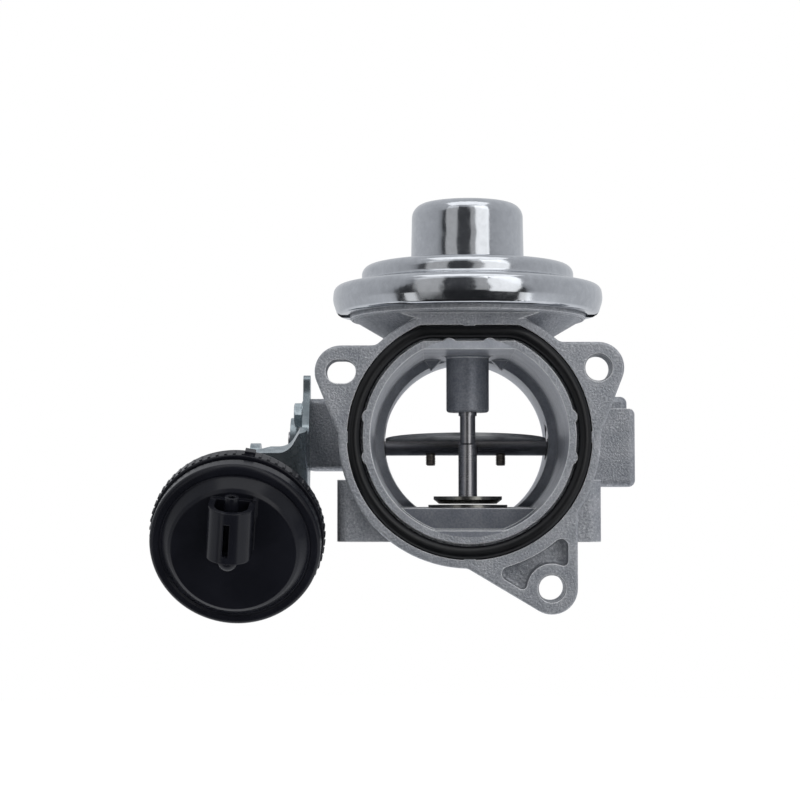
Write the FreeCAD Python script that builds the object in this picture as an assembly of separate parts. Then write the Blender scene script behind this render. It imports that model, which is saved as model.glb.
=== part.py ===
import FreeCAD, Part
import math
import os

# Exhaust gas recirculation valve with a throttle flap, in millimetres.
# The origin is where the throat axis meets the manifold flange face.
# +X is to the right seen from the manifold, +Y runs back towards the air hose, +Z is up.

V = FreeCAD.Vector
X = V(1, 0, 0)
Y = V(0, 1, 0)
Z = V(0, 0, 1)

# Clearances
running = 0.05            # radial gap of a shaft in its bush
free_gap = 0.3            # gap between pieces that pass each other
tiny = 0.01

# Throat of the housing
bore_r = 26.9             # mixing bore at the manifold
ceiling_z = 23.8          # flat top of the mixing bore
bore_floor_z = -25.2      # flat bottom at the mouth
throttle_bore_r = 24.4
hose_bore_r = 25.3
shoulder_y = 49.0         # where the mixing bore steps down to the throttle bore
shoulder_len = 2.5
throttle_bore_len = 15.0
housing_len = 90.0

# Manifold flange
flange_t = 9.0
land_w = 2.0              # between the bore and the seal groove
groove_w = 4.3
ring_wall = 2.3           # outside the seal groove
groove_in_r = bore_r + land_w
groove_out_r = groove_in_r + groove_w
ring_r = groove_out_r + ring_wall
land_top_z = ceiling_z + ring_wall
groove_top_z = land_top_z + groove_w
ring_top_z = groove_top_z + 2.2
land_floor_z = bore_floor_z - 3.9
groove_depth = 2.7
nub_r = 2.2
nub_proud = 0.8
nub_angle = 11.4
top_nub_x = 5.5
o_ring_d = 3.65
o_ring_corner_r = 12.0
screw_hole_r = 3.5        # clearance for an M6 screw
hole_mouth_r = 3.85
hole_mouth_depth = 0.8
ear_r = 7.0
left_ear_extra = 0.1      # the slotted ear is this much fuller
ear_root = 1.8            # how far inside the ring's edge the ears' sides end
side_root = 7.6           # angles of those ends on the ring
foot_root = 83.2
right_ear = (34.9, 18.8)
left_ear = (-34.9, 17.8)
low_ear = (22.1, -40.8)
slot_half = 0.85
slot_r = 3.25
ear_blend_r = 3.0
edge_r = 0.7
pocket_depth = 4.0
pocket_wall = 2.6         # round the recess in the lower ear
pocket_ring_r = ring_r + 0.9
pocket_boss_r = 6.7
pocket_end_r = 1.9
pocket_corner_r = 1.3
pocket_floor_r = 0.9

# Barrel and hose spigot
barrel_r = 31.5
barrel_end_y = 68.0
spigot_r = 28.5
bead_r = 29.9
bead_len = 4.0
bead_back = 3.0

# Recirculated gas inlet under the throat
valve_y = 26.0            # valve stem axis
inlet_half_x = 36.3
inlet_half_y = 19.0
inlet_face_z = -28.5
inlet_top_z = -11.5
inlet_corner_r = 4.0
stud_spacing = 55.0
stud_tap_r = 3.4          # tapping size of M8
stud_depth = 13.0
platform_z = -19.3
platform_y = 13.0
gas_port_r = 9.5
gas_port_len = 5.0

# Valve seat, disc and stem
seat_body_r = 10.0
seat_bore_r = 8.0
seat_rim_r = 11.2
seat_rim_t = 0.8
seat_cone = 0.9
disc_r = 9.7
disc_rim_t = 0.9
disc_cone_t = 1.2
disc_low_r = 8.2
disc_lift_gap = 0.3
stem_low_r = 2.65
stem_r = 2.2
stem_step_z = -1.1
stem_top_z = 42.2
guide_boss_r = 6.05
guide_boss_z = 7.7
guide_root = 0.7
bush_r = 3.4
bush_nose_r = 2.6
bush_nose = 1.0
bush_top_z = 29.0
fin_spots = ((6.4, 0.0), (12.9, 0.0), (10.35, 3.2))    # from the axis, and below the ceiling
fin_len = 4.5             # cast fins in the corners behind the boss
stem_seal_r = 5.5
stem_seal_t = 3.0

# Vacuum dome over the valve
rim_r = 38.4
rim_lip_r = rim_r - 4.2   # the rolled rim's free edge
dome_flange_r = rim_lip_r - 0.7
dome_flange_z = 33.8
dome_flange_top = 35.6
dish_r = dome_flange_r - 1.3
neck_r = 23.4
neck_z = 28.6
sheet = 1.2               # dome sheet
base_dish_r = rim_lip_r - 3.2
base_rim_z = 37.3
rim_low_z = 35.2
rim_top_z = 43.7
rim_slope = 1.1
shoulder_r = rim_r - 8.3
dome_shoulder_z = 49.5
shoulder_corner = 2.8
cap_r = 16.1
cap_top_z = 67.25
cap_corner = 4.0
lip_window = 9.0
membrane_t = 0.8
membrane_z = 39.2
fold_h = 2.6
fold_half = 4.0
plate_r = 18.0
plate_t = 1.0
ridge_t = 1.5             # ring on the upper plate that centres the spring
bead_in_r = rim_r - 5.0    # thick edge of the diaphragm
dome_spring_r = 10.6
dome_spring_wire = 2.2
dome_spring_turns = 5.0
dome_tube_z = 58.0
dome_tube_r = 2.25
dome_tube_bore = 1.3
dome_tube_len = 18.0
dome_tube_collar_r = 4.2
dome_tube_collar_t = 1.2

# Throttle shaft and flap
shaft_y = 57.0
shaft_r = 4.0
flap_tilt = 3.0           # the open flap stands a little nose up
flap_t = 1.0
flap_gap_x = 0.3
flap_close_gap = 0.2
flap_screw_x = 10.5
flap_screw_r = 1.35
flap_screw_head_r = 2.7
flap_screw_head_t = 1.6
flap_screw_tip = 3.0
flap_screw_slot_w = 0.8
flap_screw_slot_depth = 0.8
journal_r = 5.5
bush_in_x = 25.4
seal_len = 2.8
boss_y0 = 44.0
boss_y1 = 70.0
left_face_x = -46.0
left_boss_z0 = -8.6
left_boss_z1 = 12.6
right_face_x = 49.6
right_boss_z0 = -13.4
right_boss_z1 = 9.6
cap_step_x = 48.2
cap_step_y = 53.0
cap_step_z = 13.6
boss_corner_r = 2.0
plug_r = 7.0
plug_t = 2.8
plug_sheet = 1.0
plug_recess = 0.6

# Lever on the left end of the shaft
lever_t = 2.4
lever_gap = 2.0           # bracket to lever
lever_hub_r = 7.4
lever_arm = 10.0
lever_end_r = 4.4
lever_rest = 30.0         # lever to the rod's normal, flap open
flap_swing = 77.0
rivet_r = 3.2
rivet_t = 0.8
pin_r = 2.0
pin_shoulder_r = 3.0
pin_end = 1.4
clip_r = 4.0
clip_t = 0.7
clip_gap = 2.0

# Vacuum can: its axis points forwards and down
can_x = -63.8
can_y = 13.3
can_z = -25.7
can_pitch = 21.0
can_roll = 5.0
can_r = 24.0
can_front_r = 23.4
can_band = 4.6            # thick band of the rear shell
can_groove = 1.6
can_front_s = 11.0
can_wall = 1.8
can_shell_r = 21.2
can_waist_r = 19.0
can_waist_s = -12.0
can_back_r = 15.0
can_back_s = -22.0
plateau_base_r = 20.0
plateau_r = 17.6
plateau_h = 3.5
rim_round = 1.4
tooth_h = 0.25
tooth_w = 0.8
tooth_count = 64
tab_w = 2.9
tab_angle = 10.0
socket_x = -0.75         # the socket stands a little left of the can's axis
socket_r = 6.1
socket_out = 6.0          # tube axis to the front face
socket_wall = 1.6
socket_low = 1.2
socket_top = 15.5
socket_floor = 1.6
socket_slot_w = 1.6
socket_slot_x = -0.5
socket_rib_w = 1.2
socket_rib_len = 5.6
socket_rib_out = 2.4
socket_slot_z0 = 3.2
socket_slot_z1 = 12.4
nipple_r = 1.85
nipple_bore = 0.9
nipple_proud = 2.6
elbow_r = 2.8
elbow_drop = 2.4
elbow_len = 7.5
cup_r = 13.4
cup_rim_r = 15.4
cup_sheet = 1.2
cup_depth = 14.0
can_membrane_t = 0.8
can_bead_r = 21.6
can_spring_r = 10.4
can_spring_wire = 1.7
can_spring_turns = 5.0
rod_r = 2.0
rod_guide_r = 4.6
rod_guide_len = 6.5
eye_t = 3.0
eye_wall = 2.2
eye_slot_half = 1.6       # the pin's travel across the rod, each way
eye_play = 0.5
eye_shift = 0.2
eye_neck_r = 2.9
eye_neck_len = 7.0
stud_r = 2.0
stud_x = 10.0
stud_len = 7.0
nut_flats = 7.0
nut_t = 3.2

# Bracket and its screws
bracket_t = 2.0
bracket_top_z = 12.0
bracket_low_z = -8.2
bracket_y0 = 38.0
bracket_y1 = 70.0
bracket_corner = 5.0
bracket_bend_r = 3.0      # outside of the bend
tongue_y0 = 43.3
tongue_y1 = 47.5
tongue_top_z = 19.5
leg_y = 46.0              # back edge of the leg that runs down to the can
web_top = 15.1
web_bend_top = 20.9
web_low = -17.0
web_foot = 6.0
web_left = 14.0
web_corner = 11.0
web_rise_run = 3.4        # the top edge rises to the bend over this length
web_rise_r = 5.0
web_lip = 3.6
web_lip_end = 3.5
web_lip_taper = 6.0
shaft_hole_r = 6.1
bolt_r = 2.0
bolt_flats = 7.0
bolt_head_t = 2.8
bolt_washer_t = 0.5
bolt_washer_r = 4.2
bolt_len = 12.0
bolt_spots = ((-9.7, 7.8), (9.2, 8.2))


def sin(angle):
    return math.sin(math.radians(angle))


def cos(angle):
    return math.cos(math.radians(angle))


# Worked-out places
stem_base = V(0, valve_y, 0)
shaft_axis = V(0, shaft_y, 0)
disc_low_z = platform_z + seat_rim_t + disc_lift_gap
disc_top_z = disc_low_z + disc_cone_t + disc_rim_t
seat_top_z = platform_z + seat_rim_t
bracket_x = left_face_x - bracket_t
lever_in_x = bracket_x - lever_gap
lever_out_x = lever_in_x - lever_t
can_place = FreeCAD.Placement(V(can_x, can_y, can_z), FreeCAD.Rotation(X, 90 + can_pitch))
rod_back = V(0, cos(can_pitch), sin(can_pitch))
rod_down = V(0, sin(can_pitch), -cos(can_pitch))
plateau_s = can_front_s + plateau_h


def lever_pin_place(turn):
    """Centre of the lever pin when the flap has closed by this angle."""
    angle = lever_rest - turn
    return shaft_axis + (rod_back * sin(angle) + rod_down * cos(angle)) * lever_arm


pin_rest = lever_pin_place(0)
pin_s = -(pin_rest - V(0, can_y, can_z)).dot(rod_back)


# Shapes


def cylinder(radius, start, end):
    along = end - start
    return Part.makeCylinder(radius, along.Length, start, along)


def tube(outer, inner, start, end):
    along = (end - start).normalize()
    return cylinder(outer, start, end).cut(cylinder(inner, start - along, end + along))


def tube_at(base, outer, inner, low, high):
    return tube(outer, inner, base + Z * low, base + Z * high)


def box(low, high):
    return Part.makeBox(high[0] - low[0], high[1] - low[1], high[2] - low[2], V(*low))


def rounded(corners):
    """Straight edges and tangent arcs through corners given as (u, v, corner radius)."""
    points = [V(u, v, 0) for u, v, _ in corners]
    starts, ends, middles = [], [], []
    for i, corner in enumerate(corners):
        here, before, after = points[i], points[i - 1], points[(i + 1) % len(points)]
        to_before = (before - here).normalize()
        to_after = (after - here).normalize()
        half = to_before.getAngle(to_after) / 2
        reach = corner[2] / math.tan(half) if corner[2] else 0
        inward = to_before + to_after
        starts.append(here + to_before * reach)
        ends.append(here + to_after * reach)
        sag = corner[2] * (1 / math.sin(half) - 1) if corner[2] else 0
        middles.append(here + inward.normalize() * sag if sag else here)
    edges = []
    for i, corner in enumerate(corners):
        if corner[2]:
            edges.append(Part.Arc(starts[i], middles[i], ends[i]).toShape())
        following = starts[(i + 1) % len(points)]
        if (following - ends[i]).Length > 1e-6:
            edges.append(Part.LineSegment(ends[i], following).toShape())
    return Part.Wire(edges)


def laid(wire, origin, along_u, along_v):
    """The flat drawing moved to a plane through origin."""
    normal = along_u.cross(along_v)
    matrix = FreeCAD.Matrix(
        along_u.x, along_v.x, normal.x, origin.x,
        along_u.y, along_v.y, normal.y, origin.y,
        along_u.z, along_v.z, normal.z, origin.z,
        0, 0, 0, 1)
    moved = wire.copy()
    moved.transformShape(matrix)
    return moved


def prism(corners, origin, along_u, along_v, depth):
    face = Part.Face(laid(rounded(corners), origin, along_u, along_v))
    return face.extrude(along_u.cross(along_v) * depth)


def turned(corners, base=V(0, 0, 0), axis=Z, side=X):
    """A profile of (radius, height, corner radius) turned about an axis."""
    face = Part.Face(laid(rounded(corners), base, side, axis))
    return face.revolve(base, axis, 360)


def joined(shapes):
    whole = shapes[0]
    for shape in shapes[1:]:
        whole = whole.fuse(shape)
    return whole.removeSplitter()


def edges_along(shape, direction, keep):
    """Straight edges along a direction whose middle passes the test."""
    found = []
    for edge in shape.Edges:
        if edge.Curve.TypeId != "Part::GeomLine":
            continue
        run = edge.Vertexes[-1].Point - edge.Vertexes[0].Point
        if run.Length > 0.5 and abs(run.normalize().dot(direction)) > 0.999 and keep(edge.CenterOfMass):
            found.append(edge)
    return found


def hexagon(flats, start, end):
    along = (end - start).normalize()
    side = Z if abs(along.z) < 0.5 else X
    side = (side - along * side.dot(along)).normalize()
    other = along.cross(side)
    reach = flats / math.sqrt(3)
    corners = [(reach * cos(60 * i), reach * sin(60 * i), 0) for i in range(6)]
    return prism(corners, start, side, other, (end - start).Length)


def helix_spring(mean_r, wire_d, turns, length, base, axis):
    """Compression spring between two flat ends."""
    height = length - 1.3 * wire_d
    pitch = height / turns
    path = Part.makeHelix(pitch, height, mean_r)
    # A square section with the area of the round wire
    reach = wire_d / 2 * math.sqrt(math.pi / 2)
    corners = [V(mean_r + reach * sin(90 * i), 0, reach * cos(90 * i)) for i in range(4)]
    section = Part.makePolygon(corners + corners[:1])
    coil = Part.Wire(path.Edges).makePipeShell([section], True, True)
    coil.translate(V(0, 0, 0.65 * wire_d))
    turn = FreeCAD.Rotation(Z, axis)
    coil.Placement = FreeCAD.Placement(base, turn).multiply(coil.Placement)
    return coil


# Housing


def tangent_point(px, pz, cx, cz, radius, side):
    """Where a line from a point touches a circle."""
    reach = math.hypot(px - cx, pz - cz)
    bearing = math.degrees(math.atan2(pz - cz, px - cx))
    angle = bearing + side * math.degrees(math.acos(radius / reach))
    return cx + radius * cos(angle), cz + radius * sin(angle)


def ear(centre, radius, root_a, root_b):
    """Flange ear: a round end on its screw hole and two straight sides into the ring."""
    cx, cz = centre
    ax, az = tangent_point(root_a[0], root_a[1], cx, cz, radius, 1)
    bx, bz = tangent_point(root_b[0], root_b[1], cx, cz, radius, -1)
    ring = math.hypot(cx, cz)
    far = V(cx + radius * cx / ring, 0, cz + radius * cz / ring)
    edges = [
        Part.LineSegment(V(root_a[0], 0, root_a[1]), V(ax, 0, az)).toShape(),
        Part.Arc(V(ax, 0, az), far, V(bx, 0, bz)).toShape(),
        Part.LineSegment(V(bx, 0, bz), V(root_b[0], 0, root_b[1])).toShape(),
        Part.LineSegment(V(root_b[0], 0, root_b[1]), V(root_a[0], 0, root_a[1])).toShape(),
    ]
    return Part.Face(Part.Wire(edges)).extrude(Y * flange_t)


def ear_foot():
    """Where the lower ear's long side leaves the ring."""
    return V(-cos(foot_root), 0, -sin(foot_root)) * (ring_r - ear_root)


def flange():
    ring = cylinder(ring_r, V(0, 0, 0), Y * flange_t)
    ring = ring.common(box((-ring_r, 0, -ring_r), (ring_r, flange_t, ring_top_z)))
    root_r = ring_r - ear_root
    half = ring_r / 2
    side = V(root_r * cos(side_root), 0, -root_r * sin(side_root))
    foot = ear_foot()
    right = ear(right_ear, ear_r, (side.x, side.z), (half, right_ear[1] + ear_r))
    left_r = ear_r + left_ear_extra
    left = ear(left_ear, left_r, (-half, left_ear[1] + left_r), (-side.x, side.z))
    low = ear(low_ear, ear_r, (foot.x, foot.z), (low_ear[0] + ear_r, -half / 2))
    plate = joined([ring, right, left, low])

    def inner_corner(middle):
        on_ring = abs(math.hypot(middle.x, middle.z) - ring_r) < 0.05
        return on_ring and middle.z < ring_top_z - 0.5

    plate = plate.makeFillet(ear_blend_r, edges_along(plate, Y, inner_corner))
    rim = [edge for edge in plate.Edges if abs(edge.CenterOfMass.y) < 0.001]
    return plate.makeFillet(edge_r, rim)


def screw_holes():
    """Two round holes and a slot, each with a drafted mouth."""
    cuts = []
    for x, z in (right_ear, low_ear):
        cuts.append(cylinder(screw_hole_r, V(x, -1, z), V(x, flange_t + 1, z)))
        cuts.append(Part.makeCone(hole_mouth_r, screw_hole_r, hole_mouth_depth, V(x, -tiny, z), Y))
    x, z = left_ear
    ends = (-slot_half, slot_half)
    cuts.extend(cylinder(slot_r, V(x + e, -1, z), V(x + e, flange_t + 1, z)) for e in ends)
    cuts.append(box((x - slot_half, -1, z - slot_r), (x + slot_half, flange_t + 1, z + slot_r)))
    return joined(cuts)


def seal_groove():
    """Groove round the throat, cut flat above, with nubs that pinch the seal."""
    depth = Y * groove_depth
    outer = cylinder(groove_out_r, V(0, -1, 0), depth)
    outer = outer.common(box((-ring_r, -1, -ring_r), (ring_r, groove_depth, groove_top_z)))
    island = cylinder(groove_in_r, V(0, -1, 0), depth)
    island = island.common(box((-ring_r, -1, land_floor_z), (ring_r, groove_depth, land_top_z)))
    sunk = nub_r - nub_proud
    out = groove_out_r + sunk
    spots = [(out, 0), (-out, 0), (0, -out), (0, groove_top_z + sunk)]
    for x, z in spots:
        outer = outer.cut(cylinder(nub_r, V(x, -1, z), V(x, groove_depth, z)))
    inner = groove_in_r - sunk
    angles = (nub_angle, -nub_angle, 180 - nub_angle, 180 + nub_angle)
    spots = [(inner * cos(a), inner * sin(a)) for a in angles]
    spots += [(top_nub_x, land_top_z - sunk), (-top_nub_x, land_top_z - sunk)]
    for x, z in spots:
        island = island.fuse(cylinder(nub_r, V(x, -1, z), V(x, groove_depth, z)))
    return outer.cut(island)


def low_ear_pocket():
    """Recess in the lower ear: an even wall along its sides, round ends, curved round ring and screw boss."""
    x, z = low_ear
    foot = ear_foot()
    tx, tz = tangent_point(foot.x, foot.z, x, z, ear_r, 1)
    along = V(tx - foot.x, 0, tz - foot.z).normalize()
    inward = V(-along.z, 0, along.x)
    start = foot + inward * pocket_wall
    right_x = x + ear_r - pocket_wall
    corner = start + along * ((right_x - start.x) / along.x)
    above = V(right_x, 0, -ring_r / 2)
    area = Part.Face(Part.makePolygon([start, corner, above, start])).extrude(Y * pocket_depth)
    area = area.cut(cylinder(pocket_ring_r, -Y, Y * (pocket_depth + 1)))
    area = area.cut(cylinder(pocket_boss_r, V(x, -1, z), V(x, pocket_depth + 1, z)))
    recess = max(area.Solids, key=lambda solid: solid.Volume)

    def by_boss(middle):
        return abs(math.hypot(middle.x - x, middle.z - z) - pocket_boss_r) < tiny

    recess = recess.makeFillet(pocket_corner_r, edges_along(recess, Y, by_boss))

    def by_ring(middle):
        return abs(math.hypot(middle.x, middle.z) - pocket_ring_r) < tiny

    recess = recess.makeFillet(pocket_end_r, edges_along(recess, Y, by_ring))
    floor = [edge for edge in recess.Edges if abs(edge.CenterOfMass.y - pocket_depth) < tiny]
    recess = recess.makeFillet(pocket_floor_r, floor)
    mouth = recess.common(box((0, 0, -2 * ring_r), (2 * ring_r, 1, 0)))
    mouth.translate(Y * -0.5)
    return recess.fuse(mouth)


def throat():
    """Air passage: flat-topped mixing bore, throttle bore and hose bore."""
    front_end = shoulder_y - shoulder_len
    wide = 2 * bore_r
    mixing = cylinder(bore_r, V(0, -1, 0), Y * front_end)
    cone = Part.makeCone(bore_r, throttle_bore_r, shoulder_len, V(0, front_end - tiny, 0), Y)
    mixing = mixing.fuse(cone)
    mixing = mixing.common(box((-wide, -1, bore_floor_z), (wide, shoulder_y, ceiling_z)))
    platform = box((-wide, platform_y, -wide), (wide, shoulder_y - tiny, platform_z))
    mixing = mixing.cut(platform)
    throttle_end = shoulder_y + throttle_bore_len
    throttle = cylinder(throttle_bore_r, V(0, shoulder_y - tiny, 0), Y * throttle_end)
    step = hose_bore_r - throttle_bore_r
    flare = Part.makeCone(throttle_bore_r, hose_bore_r, step, V(0, throttle_end - tiny, 0), Y)
    hose = cylinder(hose_bore_r, V(0, throttle_end + step - 2 * tiny, 0), Y * (housing_len + 1))
    return joined([mixing, throttle, flare, hose])


def valve_tower():
    """Neck, sloped dish and round flange that carry the dome."""
    dish = turned([(0, -5, 0), (neck_r, -5, 0), (neck_r, neck_z, 2.0), (dish_r, dome_flange_z, 0),
                   (0, dome_flange_z, 0)], stem_base)
    behind = box((-ring_r, 0, -ring_r), (ring_r, housing_len, dome_flange_z + 1))
    dish = dish.common(behind)
    top = turned([(0, dome_flange_z - tiny, 0), (dome_flange_r - 0.5, dome_flange_z - tiny, 0),
                  (dome_flange_r, dome_flange_z + 0.5, 0), (dome_flange_r, dome_flange_top, 0),
                  (0, dome_flange_top, 0)], stem_base)
    return joined([dish, top])


def rounded_block(low, high, radius, keep):
    block = box(low, high)
    picked = [edge for edge in block.Edges if keep(edge.CenterOfMass)]
    return block.makeFillet(radius, picked)


def shaft_bosses():
    left = rounded_block((left_face_x, boss_y0, left_boss_z0), (0, boss_y1, left_boss_z1), boss_corner_r,
                         lambda m: m.x < 0 and abs(m.x - left_face_x) > 1)
    right = rounded_block((0, boss_y0, right_boss_z0), (right_face_x, boss_y1, right_boss_z1), boss_corner_r,
                          lambda m: m.x > right_face_x - 1 or (m.x > 1 and m.z < 0))
    step = rounded_block((0, cap_step_y, 0), (cap_step_x, boss_y1, cap_step_z), boss_corner_r,
                         lambda m: m.z > 1 and m.x > 1)
    return joined([left, right, step])


def inlet_block():
    block = box((-inlet_half_x, valve_y - inlet_half_y, inlet_face_z),
                (inlet_half_x, valve_y + inlet_half_y, inlet_top_z))
    return block.makeFillet(inlet_corner_r, edges_along(block, Z, lambda m: True))


def hose_spigot():
    end = housing_len
    bead_y = end - bead_back - bead_len
    return turned([(0, barrel_end_y - 1, 0), (spigot_r, barrel_end_y - 1, 0), (spigot_r, bead_y, 0),
                   (bead_r, bead_y + bead_len / 2, 1.5), (spigot_r, bead_y + bead_len, 0),
                   (spigot_r, end, 0.8), (0, end, 0)], V(0, 0, 0), Y, X)


def roof_fins():
    """Pointed fins under the ceiling on both sides, where the bore narrows."""
    fins = []
    for side in (-1, 1):
        corners = [(side * x, ceiling_z - down if down else ceiling_z + 1, 0) for x, down in fin_spots]
        fin = prism(corners, Y * (shoulder_y - shoulder_len), X, Z, fin_len)
        lowest = fin.BoundBox.YMin
        fin.translate(Y * (shoulder_y - shoulder_len - fin_len - lowest))
        fins.append(fin)
    return fins


def housing():
    barrel = turned([(0, flange_t - 1, 0), (barrel_r, flange_t - 1, 0), (barrel_r, barrel_end_y, 3.0),
                     (0, barrel_end_y, 0)], V(0, 0, 0), Y, X)
    below = box((-2 * ring_r, flange_t, -2 * ring_r), (2 * ring_r, valve_y + inlet_half_y, inlet_face_z))
    body = joined([barrel, inlet_block(), shaft_bosses(), hose_spigot(), valve_tower()])
    body = joined([body.cut(below), flange()])
    body = body.cut(throat())
    boss_top = ceiling_z + 1
    root_r = guide_boss_r + guide_root
    boss = turned([(0, guide_boss_z, 0), (guide_boss_r, guide_boss_z, 0.8),
                   (guide_boss_r, ceiling_z - guide_root, 0), (root_r, ceiling_z, 0), (root_r, boss_top, 0),
                   (0, boss_top, 0)], stem_base)
    body = joined([body, boss] + roof_fins())
    body = body.cut(seal_groove()).cut(screw_holes()).cut(low_ear_pocket())
    cuts = [
        cylinder(bush_r, stem_base + Z * (guide_boss_z - 1), stem_base + Z * (bush_top_z + tiny)),
        cylinder(stem_seal_r, stem_base + Z * bush_top_z, stem_base + Z * (dome_flange_top + 1)),
        cylinder(gas_port_r, stem_base + Z * (inlet_face_z - 1), stem_base + Z * (platform_z + 1)),
        cylinder(seat_body_r, stem_base + Z * (inlet_face_z + gas_port_len),
                 stem_base + Z * (platform_z + 1)),
        cylinder(journal_r, V(left_face_x - 1, shaft_y, 0), V(right_face_x - 1, shaft_y, 0)),
        cylinder(plug_r, V(right_face_x - plug_recess - plug_t, shaft_y, 0), V(right_face_x + 1, shaft_y, 0)),
    ]
    for x in (-stud_spacing / 2, stud_spacing / 2):
        foot = V(x, valve_y, inlet_face_z)
        cuts.append(cylinder(stud_tap_r, foot - Z, foot + Z * stud_depth))
    for dy, z in bolt_spots:
        spot = V(left_face_x - 1, shaft_y + dy, z)
        cuts.append(cylinder(bolt_r, spot, spot + X * (bolt_len + 1)))
    for cut in cuts:
        body = body.cut(cut)
    return body.removeSplitter()


def flange_o_ring():
    """Round cord in the groove, following its flat top."""
    path_r = groove_out_r - o_ring_d / 2
    top = groove_top_z - o_ring_d / 2
    corner = o_ring_corner_r
    # Centre of the corner arc, which touches the chord and the inside of the big circle
    cz = top - corner
    cx = math.sqrt((path_r - corner) ** 2 - cz ** 2)
    grow = path_r / (path_r - corner)
    big_end = V(cx * grow, 0, cz * grow)
    outward = V(cx, 0, cz).normalize()
    half = V(cx, 0, cz) + (outward + Z).normalize() * corner

    def other(point):
        return V(-point.x, point.y, point.z)

    edges = [
        Part.Arc(V(cx, 0, top), half, big_end).toShape(),
        Part.Arc(big_end, V(0, 0, -path_r), other(big_end)).toShape(),
        Part.Arc(other(big_end), other(half), V(-cx, 0, top)).toShape(),
        Part.LineSegment(V(-cx, 0, top), V(cx, 0, top)).toShape(),
    ]
    path = Part.Wire(edges)
    section = Part.Wire(Part.makeCircle(o_ring_d / 2, V(cx, 0, top), X))
    ring = path.makePipeShell([section], True, True)
    ring.translate(Y * (groove_depth - o_ring_d / 2))
    return ring


def valve_seat():
    low = inlet_face_z + gas_port_len
    return turned([(seat_bore_r, low, 0), (seat_body_r, low, 0), (seat_body_r, platform_z, 0),
                   (seat_rim_r, platform_z, 0), (seat_rim_r, seat_top_z, 0),
                   (seat_bore_r + seat_cone, seat_top_z, 0), (seat_bore_r, seat_top_z - seat_cone, 0)],
                  stem_base)


def guide_bush():
    bore = stem_r + running
    low = guide_boss_z
    return turned([(bore, low - bush_nose, 0), (bush_nose_r, low - bush_nose, 0), (bush_nose_r, low, 0),
                   (bush_r, low, 0), (bush_r, bush_top_z, 0), (bore, bush_top_z, 0)], stem_base)


def stem_seal():
    low = bush_top_z
    return turned([(stem_r + free_gap, low, 0), (stem_seal_r, low, 0), (stem_seal_r, low + stem_seal_t, 0),
                   (stem_r + 1.4, low + stem_seal_t, 0), (stem_r + free_gap, low + 1.2, 0)], stem_base)


# Valve that lifts with the upper diaphragm


def valve_stem():
    return turned([(0, disc_top_z, 0), (stem_low_r, disc_top_z, 0), (stem_low_r, stem_step_z - 0.4, 0),
                   (stem_r, stem_step_z, 0), (stem_r, stem_top_z - 0.6, 0), (stem_r - 0.6, stem_top_z, 0),
                   (0, stem_top_z, 0)], stem_base)


def valve_disc():
    return turned([(0, disc_low_z, 0), (disc_low_r, disc_low_z, 0), (disc_r, disc_low_z + disc_cone_t, 0),
                   (disc_r, disc_top_z, 0), (0, disc_top_z, 0)], stem_base)


def lower_plate():
    top = membrane_z
    return tube_at(stem_base, plate_r, stem_r, top - plate_t, top)


def upper_plate():
    low = membrane_z + membrane_t
    top = low + plate_t
    ridge = dome_spring_r - dome_spring_wire
    plate = tube_at(stem_base, plate_r, stem_r, low, top)
    return joined([plate, tube_at(stem_base, ridge, ridge - ridge_t, top, top + plate_t)])


# Vacuum dome


def dome_base_plate():
    low = dome_flange_top
    rim_in = rim_r - 2.4 * sheet
    return turned([(stem_seal_r, low, 0), (base_dish_r, low, 0), (rim_lip_r - 0.6, base_rim_z, 0),
                   (rim_in, base_rim_z, 0), (rim_in, base_rim_z + sheet, 0),
                   (rim_lip_r - 1.2, base_rim_z + sheet, 0), (base_dish_r - 0.4, low + sheet, 0),
                   (stem_seal_r, low + sheet, 0)], stem_base)


def dome_diaphragm():
    """Rubber sheet with a rolled fold and a thick outer bead."""
    low = base_rim_z + sheet
    high = rim_top_z - sheet
    bead_out = rim_r - 2.4 * sheet
    top = membrane_z + membrane_t
    middle = (plate_r + bead_in_r) / 2
    near, far = middle - fold_half, middle + fold_half
    slant = membrane_t / 2
    hole = stem_r + free_gap
    return turned([(hole, membrane_z, 0), (near, membrane_z, 0), (middle, membrane_z + fold_h, 0),
                   (far, membrane_z, 0), (bead_in_r, membrane_z, 0), (bead_in_r, low, 0),
                   (bead_out, low, 0), (bead_out, high, 0), (bead_in_r, high, 0), (bead_in_r, top, 0),
                   (far + slant, top, 0), (middle, top + fold_h, 0), (near - slant, top, 0),
                   (hole, top, 0)], stem_base)


def dome_outer():
    return [(0, cap_top_z, 0), (cap_r - 0.35, cap_top_z, cap_corner), (cap_r, dome_shoulder_z, 1.6),
            (shoulder_r, dome_shoulder_z, shoulder_corner), (shoulder_r, rim_top_z + rim_slope, 0.9),
            (rim_r - 0.5, rim_top_z - 0.3, 2.4), (rim_r, (rim_top_z + rim_low_z) / 2, 6.0)]


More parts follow.
